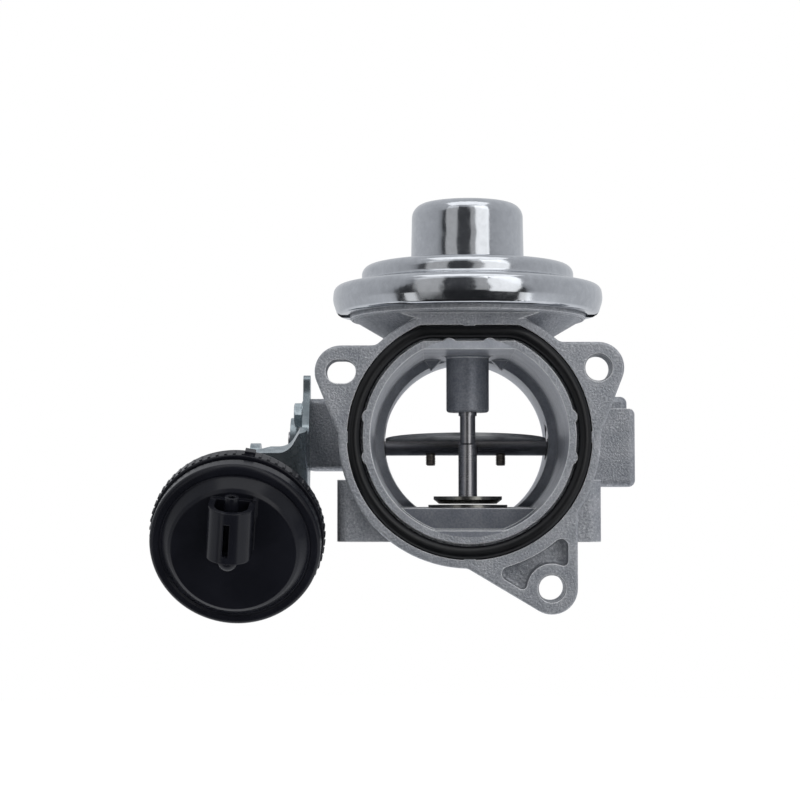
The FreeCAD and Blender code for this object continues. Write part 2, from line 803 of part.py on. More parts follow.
def dome_cover():
    """Pressed steel cover: cap, shoulder and a rim rolled under the base plate."""
    t = sheet
    inner_z = base_rim_z - tiny
    outer = dome_outer() + [(rim_r - 1.4, rim_low_z, 1.6), (rim_lip_r, rim_low_z, 0)]
    inner = [(rim_lip_r, inner_z, 0), (rim_r - 2.4 * t, inner_z, 0),
             (rim_r - 2.4 * t, rim_top_z - t, 0), (shoulder_r - t, rim_top_z - t + 0.7, 0),
             (shoulder_r - t, dome_shoulder_z - t, shoulder_corner - t), (cap_r - t, dome_shoulder_z - t, 0),
             (cap_r - 0.35 - t, cap_top_z - t, cap_corner - t), (0, cap_top_z - t, 0)]
    cover = turned(outer + inner, stem_base)
    for side in (-1, 1):
        x = side * (rim_lip_r + 1.0)
        half = lip_window / 2
        window = box((x - 1.6, valve_y - half, rim_low_z - 1), (x + 1.6, valve_y + half, inner_z))
        cover = cover.cut(window)
    mouth = stem_base + Z * dome_tube_z
    return cover.cut(cylinder(dome_tube_r, mouth, mouth + Y * (cap_r + 2)))


def dome_vacuum_tube():
    """Steel tube brazed into the back of the cap."""
    start = stem_base + Z * dome_tube_z + Y * (cap_r - 2 * sheet)
    end = start + Y * (dome_tube_len + 2 * sheet)
    r = dome_tube_r
    pipe = turned([(dome_tube_bore, 0, 0), (r, 0, 0), (r, (end - start).Length - 0.6, 0),
                   (r - 0.4, (end - start).Length, 0), (dome_tube_bore, (end - start).Length, 0)],
                   start, Y, X)
    outside = stem_base + Z * dome_tube_z + Y * (cap_r - 0.15)
    collar = tube(dome_tube_collar_r, r - tiny, outside - Y * 2, outside + Y * dome_tube_collar_t)
    collar = collar.cut(cylinder(cap_r, stem_base + Z * dome_shoulder_z, stem_base + Z * cap_top_z))
    return joined([pipe, collar])


def dome_spring():
    low = membrane_z + membrane_t + plate_t
    return helix_spring(dome_spring_r, dome_spring_wire, dome_spring_turns, cap_top_z - sheet - low,
                        stem_base + Z * low, Z)


# Throttle


def tilted(shape):
    """Turned about the shaft so that the flap's near edge rises."""
    shape.rotate(shaft_axis, X, -flap_tilt)
    return shape


def throttle_shaft():
    left = lever_out_x - rivet_t
    right = right_face_x - plug_recess - plug_t - 1.5
    shaft = cylinder(shaft_r, V(lever_in_x, shaft_y, 0), V(right, shaft_y, 0))
    neck = cylinder(shaft_r - 1.0, V(lever_out_x - tiny, shaft_y, 0), V(lever_in_x + tiny, shaft_y, 0))
    head = cylinder(rivet_r, V(left, shaft_y, 0), V(lever_out_x, shaft_y, 0))
    shaft = joined([shaft, neck, head])
    half = throttle_bore_r
    over = shaft_r + 1
    shaft = shaft.cut(box((-half, shaft_y - over, 0), (half, shaft_y + over, over)))
    for x in (-flap_screw_x, flap_screw_x):
        shaft = shaft.cut(cylinder(flap_screw_r, V(x, shaft_y, -over), V(x, shaft_y, over)))
    return tilted(shaft)


def flap_plate():
    """Oval plate that meets the bore when it has turned through its swing."""
    closed = flap_swing + flap_tilt
    half_x = throttle_bore_r - flap_gap_x
    half_y = (throttle_bore_r - flap_close_gap - flap_t * cos(closed)) / sin(closed)
    # The longer axis comes first in an ellipse
    if half_y >= half_x:
        oval = Part.Ellipse(V(0, 0, 0), half_y, half_x)
        turn = FreeCAD.Rotation(Z, 90)
    else:
        oval = Part.Ellipse(V(0, 0, 0), half_x, half_y)
        turn = FreeCAD.Rotation(Z, 0)
    plate = Part.Face(Part.Wire(oval.toShape())).extrude(Z * flap_t)
    plate.Placement = FreeCAD.Placement(shaft_axis, turn)
    for x in (-flap_screw_x, flap_screw_x):
        plate = plate.cut(cylinder(flap_screw_r, V(x, shaft_y, -1), V(x, shaft_y, flap_t + 1)))
    return tilted(plate)


def flap_screws():
    screws = []
    for x in (-flap_screw_x, flap_screw_x):
        base = V(x, shaft_y, 0)
        tip = -shaft_r - flap_screw_tip
        r = flap_screw_r
        head_r, top = flap_screw_head_r, flap_t + flap_screw_head_t
        screw = turned([(0, tip, 0), (r - 0.3, tip, 0), (r, tip + 0.3, 0), (r, flap_t, 0),
                        (head_r, flap_t, 0), (head_r, top - 0.6, 0), (head_r - 0.6, top, 0), (0, top, 0)],
                        base)
        half_slot = flap_screw_slot_w / 2
        slot = box((x - head_r, shaft_y - half_slot, top - flap_screw_slot_depth),
                   (x + head_r, shaft_y + half_slot, top + 1))
        screws.append(tilted(screw.cut(slot)))
    return Part.makeCompound(screws)


def shaft_bushes():
    inner = shaft_r + running
    left = tube(journal_r, inner, V(left_face_x + seal_len, shaft_y, 0), V(-bush_in_x, shaft_y, 0))
    end = right_face_x - plug_recess - plug_t - 1.0
    right = tube(journal_r, inner, V(bush_in_x, shaft_y, 0), V(end, shaft_y, 0))
    return Part.makeCompound([left, right])


def shaft_seal():
    start = V(left_face_x, shaft_y, 0)
    return tube(journal_r, shaft_r + free_gap, start, start + X * seal_len)


def shaft_plug():
    """Pressed cup that closes the right end of the shaft bore."""
    out = right_face_x - plug_recess
    base = V(out - plug_t, shaft_y, 0)
    inner_r, inner_t = plug_r - plug_sheet, plug_t - plug_sheet
    return turned([(0, inner_t, 0), (inner_r, inner_t, 0), (inner_r, 0, 0), (plug_r, 0, 0),
                   (plug_r, plug_t, 0.8), (0, plug_t, 0)], base, X, Y)


def throttle_lever():
    """Flat lever with a round hub, riveted to the shaft."""
    towards = (pin_rest - shaft_axis).normalize()
    across = X.cross(towards)
    hub = cylinder(lever_hub_r, V(lever_out_x, shaft_y, 0), V(lever_in_x, shaft_y, 0))
    end = cylinder(lever_end_r, pin_rest + X * lever_out_x, pin_rest + X * lever_in_x)
    # Straight sides that touch the hub and the end
    lean = math.degrees(math.asin((lever_hub_r - lever_end_r) / lever_arm))
    web = [(lever_hub_r * sin(lean), lever_hub_r * cos(lean), 0),
           (lever_arm + lever_end_r * sin(lean), lever_end_r * cos(lean), 0),
           (lever_arm + lever_end_r * sin(lean), -lever_end_r * cos(lean), 0),
           (lever_hub_r * sin(lean), -lever_hub_r * cos(lean), 0)]
    web = prism(web, V(lever_out_x, shaft_y, 0), towards, across, lever_t)
    if towards.cross(across).x < 0:
        web.translate(X * lever_t)
    lever = joined([hub, end, web])
    lever = lever.cut(cylinder(shaft_r - 1.0, V(lever_out_x - 1, shaft_y, 0), V(lever_in_x + 1, shaft_y, 0)))
    return lever.cut(cylinder(pin_r, pin_rest + X * (lever_out_x - 1), pin_rest + X * (lever_in_x + 1)))


def lever_pin():
    eye_in = can_x + eye_t / 2
    eye_out = can_x - eye_t / 2
    start = pin_rest + X * lever_in_x
    shoulder_end = pin_rest + X * (eye_in + free_gap)
    end = eye_out - free_gap - clip_t - pin_end
    pin = cylinder(pin_r, start, pin_rest + X * end)
    shoulder = cylinder(pin_shoulder_r, pin_rest + X * lever_out_x, shoulder_end)
    tip = end + pin_end
    groove = tube(pin_r + 1, pin_r - 0.5, pin_rest + X * tip, pin_rest + X * (tip + clip_t))
    return joined([pin, shoulder]).cut(groove)


def pin_clip():
    """Snap ring in the groove at the pin's end."""
    start = can_x - eye_t / 2 - free_gap - clip_t
    ring = tube(clip_r, pin_r - 0.5, pin_rest + X * start, pin_rest + X * (start + clip_t))
    y, z, half = pin_rest.y, pin_rest.z, clip_gap / 2
    return ring.cut(box((start - 1, y, z - half), (start + clip_t + 1, y + clip_r + 1, z + half)))


# Vacuum can, drawn with its axis along local Z and local Y up the front face


def in_can(shape):
    shape.Placement = can_place.multiply(shape.Placement)
    return shape


def rolled(shape):
    """Turned about the can's own axis, as the can sits in its bracket."""
    shape.rotate(V(0, 0, 0), Z, -can_roll)
    return shape


def can_lid():
    t = can_wall
    skirt_s = can_band + can_groove
    lid = turned([(plateau_r - 0.6, plateau_s, 0), (0, plateau_s, 0), (0, plateau_s - t, 0),
                  (plateau_r - t, plateau_s - t, 1.0), (plateau_base_r - t, can_front_s - t, 0.5),
                  (can_front_r - t, can_front_s - t, 0.8), (can_front_r - t, can_band, 0),
                  (can_front_r - 0.6, can_band, 0), (can_front_r - 0.6, skirt_s, 0),
                  (can_front_r, skirt_s, 0),
                  (can_front_r, can_front_s, rim_round), (plateau_base_r + 0.9, can_front_s, 0.3),
                  (plateau_base_r + 0.4, can_front_s - 0.5, 0.3), (plateau_base_r, can_front_s, 0.3),
                  (plateau_r + 0.3, plateau_s - 0.7, 0.6)])
    lid = joined([lid, vacuum_socket()])
    turn = V(socket_x, elbow_y(), plateau_s + socket_out)
    passage = cylinder(nipple_bore, turn - Z * (socket_out + t + 1), turn)
    up = cylinder(nipple_bore, turn, turn + Y * (socket_top + 2 * nipple_proud))
    lid = lid.cut(joined([passage, up]))
    return in_can(rolled(lid))


def elbow_y():
    return socket_low + socket_floor - elbow_drop


def vacuum_socket():
    """Upright tube on the front face, with the vacuum nipple inside."""
    r = socket_r
    face = plateau_s - 0.5
    axis_s = plateau_s + socket_out
    floor = socket_low + socket_floor

    def upright(radius, back, low, high):
        round_part = cylinder(radius, V(0, low, axis_s), V(0, high, axis_s))
        return joined([round_part, box((-radius, low, back), (radius, high, axis_s))])

    elbow_end = V(0, elbow_y(), plateau_s + elbow_len)
    elbow = cylinder(elbow_r, V(0, elbow_y(), face), elbow_end).fuse(Part.makeSphere(elbow_r, elbow_end))
    shell = joined([upright(r, face, socket_low, socket_top), elbow])
    hollow = upright(r - socket_wall, plateau_s + socket_wall, floor, socket_top + 1)
    slot = box((socket_slot_x - socket_slot_w / 2, socket_slot_z0, axis_s),
               (socket_slot_x + socket_slot_w / 2, socket_slot_z1, axis_s + r + 1))
    nipple = cylinder(nipple_r, V(0, socket_low, axis_s), V(0, socket_top + nipple_proud, axis_s))
    rib_x = r + 0.4
    rib_top = socket_top + 0.6
    rib = box((rib_x - socket_rib_w, rib_top - socket_rib_len, face),
              (rib_x, rib_top, plateau_s + socket_rib_out))
    socket = joined([shell.cut(hollow).cut(slot), nipple, rib])
    socket.translate(X * socket_x)
    return socket


def can_shell():
    """Rear shell: toothed band in front, tapered cup behind, guide for the rod."""
    t = can_wall
    neck_s = -3.0
    profile = [(rod_guide_r, can_back_s, 0), (can_back_r, can_back_s, 2.0), (can_waist_r, can_waist_s, 4.0),
               (can_shell_r, neck_s, 1.5), (can_r, 0, 0.8),
               (can_r, can_band - tiny, 0.5), (can_front_r - 0.6 - running, can_band - tiny, 0),
               (can_front_r - 0.6 - running, can_band - 1.2, 0),
               (can_shell_r - t, can_band - 1.2, 0), (can_shell_r - t, neck_s, 1.5),
               (can_waist_r - t, can_waist_s, 3.0), (can_back_r - t, can_back_s + t, 2.0),
               (rod_guide_r, can_back_s + t, 0)]
    shell = turned(profile)
    guide = tube(rod_guide_r + tiny, rod_r + running, V(0, 0, can_back_s),
                 V(0, 0, can_back_s + rod_guide_len))
    parts = [shell, guide]
    step = 360.0 / tooth_count
    for i in range(tooth_count):
        tooth = box((can_r - 0.5, -tooth_w / 2, 1.0), (can_r + tooth_h, tooth_w / 2, can_band - 0.8))
        tooth.rotate(V(0, 0, 0), Z, i * step)
        parts.append(tooth)
    tab = box((-tab_w / 2, can_r - 1, 0.6), (tab_w / 2, can_r + 0.9, 3.4))
    tab.rotate(V(0, 0, 0), Z, -tab_angle)
    parts.append(tab)
    for side in (-stud_x, stud_x):
        parts.append(cylinder(stud_r, V(side, 0, can_back_s + tiny), V(side, 0, can_back_s - stud_len)))
    return in_can(joined(parts))


def piston_cup():
    t = cup_sheet
    return in_can(turned([(0, -cup_depth, 0), (cup_r - t, -cup_depth, 0), (cup_r, t - cup_depth, 0),
                          (cup_r, -t, 0), (cup_rim_r, -t, 0), (cup_rim_r, 0, 0), (cup_r - t, 0, 0),
                          (cup_r - t, t - cup_depth, 0), (0, t - cup_depth, 0)]))


def can_diaphragm():
    t = can_membrane_t
    bead = can_band - 1.2
    fold_r = can_shell_r - can_wall - free_gap
    return in_can(turned([(cup_r, 0, 0), (fold_r, 0, 0), (fold_r, bead, 0), (can_bead_r, bead, 0),
                          (can_bead_r, can_band, 0), (fold_r - t, can_band, 0), (fold_r - t, t, 0),
                          (cup_r, t, 0)]))


def can_spring():
    low = cup_sheet - cup_depth
    high = plateau_s - can_wall
    return in_can(helix_spring(can_spring_r, can_spring_wire, can_spring_turns, high - low, V(0, 0, low), Z))


def actuator_rod():
    """Rod riveted to the piston cup, its rear end flattened into the eye's seat."""
    end = pin_s + clip_r + 2 * free_gap + eye_play + 1.0
    return in_can(cylinder(rod_r, V(0, 0, -cup_depth), V(0, 0, end)))


def rod_eye():
    """Flat eye, slotted across the rod, so that the lever pin can swing past the rod's straight line."""
    half_wide = pin_r + eye_play
    half_tall = pin_r + eye_slot_half + free_gap
    centre_s = pin_s + eye_shift
    outer = [(-half_tall - eye_wall, -half_wide - eye_wall, half_wide + eye_wall - 0.01),
             (half_tall + eye_wall, -half_wide - eye_wall, half_wide + eye_wall - 0.01),
             (half_tall + eye_wall, half_wide + eye_wall, half_wide + eye_wall - 0.01),
             (-half_tall - eye_wall, half_wide + eye_wall, half_wide + eye_wall - 0.01)]
    inner = [(-half_tall, -half_wide, half_wide - 0.01), (half_tall, -half_wide, half_wide - 0.01),
             (half_tall, half_wide, half_wide - 0.01), (-half_tall, half_wide, half_wide - 0.01)]
    origin = V(-eye_t / 2, 0, centre_s)
    body = prism(outer, origin, Y, Z, eye_t)
    neck_s = pin_s + clip_r + 2 * free_gap + eye_play
    tongue = box((-eye_t / 2, -eye_neck_r, pin_s), (eye_t / 2, eye_neck_r, neck_s + tiny))
    neck = cylinder(eye_neck_r, V(0, 0, neck_s), V(0, 0, neck_s + eye_neck_len))
    body = joined([body, tongue, neck]).cut(prism(inner, origin - X, Y, Z, eye_t + 2))
    return in_can(body.cut(cylinder(rod_r, V(0, 0, neck_s + 1.0), V(0, 0, 0))))


def can_nuts():
    start = can_back_s - bracket_t
    nuts = []
    for x in (-stud_x, stud_x):
        nut = hexagon(nut_flats, V(x, 0, start - nut_t), V(x, 0, start))
        nuts.append(in_can(nut.cut(cylinder(stud_r, V(x, 0, start - 9), V(x, 0, start + 1)))))
    return Part.makeCompound(nuts)


# Bracket


def bracket_web():
    """Leaf that carries the can, square to the can's axis, with a lip along its top."""
    side = left_face_x - can_x
    top, low = web_top, web_low
    inner_side = side - bracket_t
    bend_foot = inner_side - web_rise_run
    corners = [(side, web_bend_top, 0), (inner_side, web_bend_top, 0), (bend_foot, top, web_rise_r),
               (-web_left, top, web_corner), (-web_left, low, web_corner), (side, low + web_foot, 0)]
    origin = V(0, 0, can_back_s - bracket_t)
    leaf = prism(corners, origin, X, Y, bracket_t)
    under = top - bracket_t
    lip = prism([(side, web_bend_top, 0), (inner_side, web_bend_top, 0), (bend_foot, top, web_rise_r),
                 (web_lip_end, top, 0), (web_lip_end, under, 0), (bend_foot + 1, under, web_rise_r),
                 (side, web_bend_top - 2 * bracket_t, 0)], origin - Z * web_lip, X, Y, web_lip + tiny)
    # The lip dies away towards its free end
    end, deep = web_lip_end - 1, -web_lip - 1
    taper = prism([(end, 0, 0), (end + web_lip_taper, deep, 0), (end, deep, 0)],
                  origin + Y * (top + 1), X, Z, bracket_t + 2)
    leaf = joined([leaf, lip.cut(taper)])
    for x in (-stud_x, stud_x):
        leaf = leaf.cut(cylinder(stud_r + running, V(x, 0, can_back_s - 9), V(x, 0, can_back_s + 1)))
    return in_can(leaf.cut(cylinder(rod_r + 1.5, V(0, 0, can_back_s - 9), V(0, 0, can_back_s + 1))))


def bracket():
    base = V(0, can_y, can_z) + rod_back * (-can_back_s)
    up = -rod_down
    foot = base + up * (web_low + web_foot)
    head = base + up * web_bend_top
    corners = [(head.y, head.z, 0), (bracket_y0, head.z + 0.4, 5.0), (tongue_y0, bracket_top_z + 3, 6.0),
               (tongue_y0, tongue_top_z, 2.0), (tongue_y1, tongue_top_z, 2.0),
               (tongue_y1, bracket_top_z, 1.5),
               (bracket_y1, bracket_top_z, bracket_corner), (bracket_y1, bracket_low_z, bracket_corner),
               (leg_y, bracket_low_z, 2.0), (foot.y + 2 * bracket_t, foot.z, 0), (foot.y, foot.z, 0)]
    side = prism(corners, V(bracket_x, 0, 0), Y, Z, bracket_t)
    side = side.cut(cylinder(shaft_hole_r, V(bracket_x - 1, shaft_y, 0), V(left_face_x + 1, shaft_y, 0)))
    for dy, z in bolt_spots:
        spot = V(bracket_x - 1, shaft_y + dy, z)
        side = side.cut(cylinder(bolt_r + 0.2, spot, spot + X * 4))
    whole = joined([side, bracket_web()])

    def on_bend(middle):
        out = (middle - base).dot(rod_back)
        return abs(middle.x - left_face_x) < tiny and abs(out) < tiny

    return whole.makeFillet(bracket_bend_r, edges_along(whole, up, on_bend))


def bracket_bolts():
    bolts = []
    for dy, z in bolt_spots:
        face = V(bracket_x, shaft_y + dy, z)
        washer = cylinder(bolt_washer_r, face - X * bolt_washer_t, face)
        head = hexagon(bolt_flats, face - X * bolt_head_t, face)
        shank = cylinder(bolt_r, face - X, V(left_face_x + bolt_len, face.y, face.z))
        bolts.append(joined([washer, head, shank]))
    return Part.makeCompound(bolts)


nodes = {
    "housing": housing,
    "flange_o_ring": flange_o_ring,
    "valve_seat": valve_seat,
    "guide_bush": guide_bush,
    "stem_seal": stem_seal,
    "valve_stem": valve_stem,
    "valve_disc": valve_disc,
    "lower_diaphragm_plate": lower_plate,
    "upper_diaphragm_plate": upper_plate,
    "dome_base_plate": dome_base_plate,
    "dome_diaphragm": dome_diaphragm,
    "dome_cover": dome_cover,
    "dome_vacuum_tube": dome_vacuum_tube,
    "dome_spring": dome_spring,
    "throttle_shaft": throttle_shaft,
    "flap_plate": flap_plate,
    "flap_screws": flap_screws,
    "shaft_bushes": shaft_bushes,
    "shaft_seal": shaft_seal,
    "shaft_plug": shaft_plug,
    "throttle_lever": throttle_lever,
    "lever_pin": lever_pin,
    "pin_clip": pin_clip,
    "can_bracket": bracket,
    "bracket_bolts": bracket_bolts,
    "can_shell": can_shell,
    "can_lid": can_lid,
    "can_nuts": can_nuts,
    "can_diaphragm": can_diaphragm,
    "piston_cup": piston_cup,
    "can_spring": can_spring,
    "actuator_rod": actuator_rod,
    "rod_eye": rod_eye,
}

os.makedirs("parts", exist_ok=True)
for name, make in nodes.items():
    shape = make()
    shape.exportStep("parts/" + name + ".step")
    print(name, len(shape.Solids), round(shape.Volume, 1), shape.isValid())
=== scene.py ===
import math

import bmesh
import bpy
from mathutils import Matrix, Vector


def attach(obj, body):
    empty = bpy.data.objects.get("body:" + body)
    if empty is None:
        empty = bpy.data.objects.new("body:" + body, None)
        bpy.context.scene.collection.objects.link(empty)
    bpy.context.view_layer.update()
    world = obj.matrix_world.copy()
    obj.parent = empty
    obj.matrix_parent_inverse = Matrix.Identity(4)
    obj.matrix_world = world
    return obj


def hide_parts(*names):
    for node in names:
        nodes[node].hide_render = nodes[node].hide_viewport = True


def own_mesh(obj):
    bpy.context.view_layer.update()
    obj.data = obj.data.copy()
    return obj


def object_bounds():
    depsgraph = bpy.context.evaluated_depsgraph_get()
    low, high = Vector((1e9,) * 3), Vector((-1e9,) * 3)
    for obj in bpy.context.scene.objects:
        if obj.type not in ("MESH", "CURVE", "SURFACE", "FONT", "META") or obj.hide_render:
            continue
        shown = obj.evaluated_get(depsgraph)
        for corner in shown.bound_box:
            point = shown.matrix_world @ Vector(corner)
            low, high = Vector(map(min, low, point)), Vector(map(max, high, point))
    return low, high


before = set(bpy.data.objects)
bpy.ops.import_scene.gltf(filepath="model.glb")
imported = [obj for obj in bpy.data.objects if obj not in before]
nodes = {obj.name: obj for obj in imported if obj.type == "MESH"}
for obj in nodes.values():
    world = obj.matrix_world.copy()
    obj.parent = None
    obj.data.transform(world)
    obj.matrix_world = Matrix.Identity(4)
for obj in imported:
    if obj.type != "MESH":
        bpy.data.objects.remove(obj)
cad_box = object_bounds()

# The look of an exhaust gas recirculation valve with a throttle flap.
# Lengths are in metres, in the frame of the solids: +X right, +Y back along the throat, +Z up.

MM = 0.001

# Places in the solids that the finishes and the new pieces go by
bore_r = 27 * MM                        # between the throat's walls and the outside
valve_y = 26 * MM                       # axis of the valve's stem
flap_y = 57 * MM                        # axis of the throttle shaft
flap_screw_x = 10.5 * MM
can_back = Vector((-63.8, 13.3, -25.7)) * MM
can_axis = Vector((0, 0.9336, 0.3584))  # from the vacuum can's lid to its rod
stud_x = 10 * MM                        # each side of the can's axis
bracket_x = -48 * MM                    # outer face of the bracket's plate


def linear(colour):
    """sRGB hex to linear red, green, blue and alpha."""
    parts = [int(colour[i:i + 2], 16) / 255 for i in (1, 3, 5)]
    return [p / 12.92 if p <= 0.04045 else ((p + 0.055) / 1.055) ** 2.4 for p in parts] + [1.0]


def add(tree, kind, settings=(), inputs=(), links=()):
    """Adds a node: its own settings, its socket values, and links from other sockets."""
    node = tree.nodes.new(kind)
    for name, value in dict(settings).items():
        setattr(node, name, value)
    for name, value in dict(inputs).items():
        node.inputs[name].default_value = value
    for name, socket in dict(links).items():
        tree.links.new(socket, node.inputs[name])
    return node


def start_material(name, **surface):
    """A new material: its node tree, its surface shader and its Object coordinates."""
    material = bpy.data.materials.new(name)
    material.use_nodes = True
    tree = material.node_tree
    tree.nodes.clear()
    shader = add(tree, "ShaderNodeBsdfPrincipled", inputs=surface)
    output = add(tree, "ShaderNodeOutputMaterial")
    tree.links.new(shader.outputs["BSDF"], output.inputs["Surface"])
    place = add(tree, "ShaderNodeTexCoord")
    return material, tree, shader, place.outputs["Object"]


def noise(tree, place, size, detail=2.0, roughness=0.5, stretch=(1, 1, 1)):
    """Noise whose grains are about this size in metres, drawn out along an axis by stretch."""
    scaled = add(tree, "ShaderNodeMapping", inputs={"Scale": [1 / s for s in stretch]},
                 links={"Vector": place})
    node = add(tree, "ShaderNodeTexNoise", links={"Vector": scaled.outputs["Vector"]},
               inputs={"Scale": 1 / size, "Detail": detail, "Roughness": roughness})
    return node.outputs["Fac"]


def ramp(tree, factor, stops):
    """Colours at positions along a factor."""
    node = add(tree, "ShaderNodeValToRGB", links={"Fac": factor})
    band = node.color_ramp
    while len(band.elements) < len(stops):
        band.elements.new(0.5)
    for element, (position, colour) in zip(band.elements, stops):
        element.position = position
        element.color = linear(colour)
    return node.outputs["Color"]


def spread(tree, factor, low, high, start=0.0, end=1.0):
    """The factor mapped to a range of values."""
    inputs = {"From Min": start, "From Max": end, "To Min": low, "To Max": high}
    return add(tree, "ShaderNodeMapRange", inputs=inputs, links={"Value": factor}).outputs["Result"]


def length(tree, vector):
    """How long a vector is."""
    return add(tree, "ShaderNodeVectorMath", {"operation": "LENGTH"}, links={0: vector}).outputs["Value"]


def larger(tree, first, second):
    """The larger of two values."""
    return add(tree, "ShaderNodeMath", {"operation": "MAXIMUM"}, links={0: first, 1: second}).outputs[0]


def bump(tree, height, depth, strength=1.0, **more):
    """Relief of this depth in metres from a height between 0 and 1. More links go in by name."""
    node = add(tree, "ShaderNodeBump", inputs={"Strength": strength, "Distance": depth},
               links={"Height": height, **more})
    return node.outputs["Normal"]


def mix_colour(tree, factor, first, second, blend="MIX"):
    """Two colours mixed by a factor, each one a number or a socket."""
    node = add(tree, "ShaderNodeMix", {"data_type": "RGBA", "blend_type": blend})
    for index, value in ((0, factor), (6, first), (7, second)):
        if isinstance(value, bpy.types.NodeSocket):
            tree.links.new(value, node.inputs[index])
        else:
            node.inputs[index].default_value = value
    return node.outputs[2]


def edges(tree, radius, low=0.004, high=0.06):
    """1 on sharp outer and inner edges and 0 on plain faces, and the normal rounded over the edges."""
    rounded = add(tree, "ShaderNodeBevel", {"samples": 6}, {"Radius": radius})
    true = add(tree, "ShaderNodeNewGeometry")
    dot = add(tree, "ShaderNodeVectorMath", {"operation": "DOT_PRODUCT"},
              links={0: rounded.outputs[0], 1: true.outputs["True Normal"]})
    return spread(tree, dot.outputs["Value"], 0.0, 1.0, 1 - low, 1 - high), rounded.outputs[0]


# Materials


def cast_aluminium():
    """Die-cast aluminium, shot blasted: matt grey with a fine bright grain, and edges painted near white,
    a painted highlight that is in part worn bare metal. The throat's walls are smoother, and are painted
    paler and less metallic as painted light;
    deeper in the throat, on its floor and round the stem's boss, a darker grey is painted shade."""
    material, tree, shader, place = start_material("cast_aluminium_shot_blasted")
    grit = noise(tree, place, 0.62 * MM, 3.0, 0.62)
    cloud = noise(tree, place, 7 * MM, 3.0)
    outside = ramp(tree, grit, [(0.30, "#A0A3A8"), (0.50, "#B7B9BE"), (0.64, "#C8CACD"),
                                (0.74, "#F2F3F4")])
    # The throat's walls get a paler copy of the aluminium, less metallic: painted light in the deep bore
    walls = ramp(tree, grit, [(0.35, "#C0C3CA"), (0.65, "#CDD0D6")])
    # Darker copy of the aluminium for deep in the throat: painted shade
    painted_shade_grey = ramp(tree, grit, [(0.35, "#868990"), (0.65, "#9B9EA5")])
    stain = ramp(tree, cloud, [(0.3, "#DCDEE1"), (0.7, "#FFFFFF")])
    parts = add(tree, "ShaderNodeSeparateXYZ", links={0: place})
    flat = add(tree, "ShaderNodeCombineXYZ", links={0: parts.outputs["X"], 2: parts.outputs["Z"]})
    radius = length(tree, flat.outputs[0])
    throat = spread(tree, radius, 1.0, 0.0, bore_r - 0.05 * MM, bore_r + 0.05 * MM)
    middle = spread(tree, radius, 1.0, 0.0, 20 * MM, 22 * MM)
    stem = add(tree, "ShaderNodeMapping", {"vector_type": "POINT"},
               {"Location": (0, -valve_y, 0), "Scale": (1, 1, 0)}, {"Vector": place})
    boss = spread(tree, length(tree, stem.outputs[0]), 1.0, 0.0, 7.3 * MM, 7.5 * MM)
    ground = spread(tree, parts.outputs["Z"], 1.0, 0.0, -18.5 * MM, -17 * MM)
    # Painted shade near the throat's axis, round the stem's boss and low on the throat's floor
    painted_shade_mask = larger(tree, larger(tree, middle, boss), ground)
    worn_edge_highlight, rounded = edges(tree, 0.5 * MM)
    colour = mix_colour(tree, throat, outside, mix_colour(tree, painted_shade_mask, walls, painted_shade_grey))
    colour = mix_colour(tree, 1.0, colour, stain, "MULTIPLY")
    # Outer and inner edges painted near white: a painted highlight along the edges, in part worn bare
    # metal
    colour = mix_colour(tree, worn_edge_highlight, colour, linear("#F6F7F8"))
    tree.links.new(colour, shader.inputs["Base Color"])
    tree.links.new(spread(tree, throat, 0.7, 0.35), shader.inputs["Metallic"])
    rough = add(tree, "ShaderNodeMath", {"operation": "MULTIPLY"},
                links={0: spread(tree, grit, 0.52, 0.34, 0.3, 0.72), 1: spread(tree, throat, 1.0, 0.9)})
    tree.links.new(rough.outputs[0], shader.inputs["Roughness"])
    relief = bump(tree, grit, 0.3 * MM, Normal=rounded, Strength=spread(tree, throat, 1.0, 0.3))
    tree.links.new(relief, shader.inputs["Normal"])
    return material


def bright_steel():
    """Deep-drawn steel sheet with a bright finish: near mirror, with faint drawing haze."""
    material, tree, shader, place = start_material("bright_drawn_steel", Metallic=1.0)
    haze = noise(tree, place, 2.2 * MM, 4.0, 0.65)
    colour = ramp(tree, haze, [(0.3, "#C3C6CA"), (0.7, "#D0D3D7")])
    tree.links.new(colour, shader.inputs["Base Color"])
    tree.links.new(spread(tree, haze, 0.08, 0.17, 0.3, 0.7), shader.inputs["Roughness"])
    tree.links.new(bump(tree, haze, 0.004 * MM, 0.3), shader.inputs["Normal"])
    return material


def zinc_plate():
    """Steel with blue-white passivated zinc: pale, slightly blue, cloudy, with duller patches."""
    material, tree, shader, place = start_material("zinc_plated_steel_blue", Metallic=0.7)
    cloud = noise(tree, place, 2.5 * MM, 4.0, 0.6)
    colour = ramp(tree, cloud, [(0.3, "#8A959A"), (0.55, "#A3AEB3"), (0.75, "#C0C9CD")])
    tree.links.new(colour, shader.inputs["Base Color"])
    tree.links.new(spread(tree, cloud, 0.32, 0.22, 0.3, 0.7), shader.inputs["Roughness"])
    tree.links.new(bump(tree, cloud, 0.04 * MM, 0.3), shader.inputs["Normal"])
    return material


def ground_steel():
    """Turned and ground stainless steel of stem and shaft: soft rings and sharp long highlights."""
    material, tree, shader, place = start_material("ground_stainless_steel", Metallic=1.0)
    rings = noise(tree, place, 1.0 * MM, 2.0, 0.5, (40, 40, 2.5))
    colour = ramp(tree, rings, [(0.3, "#A2A1A4"), (0.7, "#AAA9AB")])
    tree.links.new(colour, shader.inputs["Base Color"])
    tree.links.new(spread(tree, rings, 0.25, 0.28, 0.3, 0.7), shader.inputs["Roughness"])
    return material


def heat_steel():
    """Heat-resisting steel of the seat and disc: turned, brownish grey from soot and heat."""
    material, tree, shader, place = start_material("heat_resisting_steel", Metallic=0.95)
    rings = noise(tree, place, 0.8 * MM, 3.0)
    colour = ramp(tree, rings, [(0.3, "#7A7974"), (0.7, "#8C8B86")])
    tree.links.new(colour, shader.inputs["Base Color"])
    tree.links.new(spread(tree, rings, 0.18, 0.23, 0.3, 0.7), shader.inputs["Roughness"])
    return material


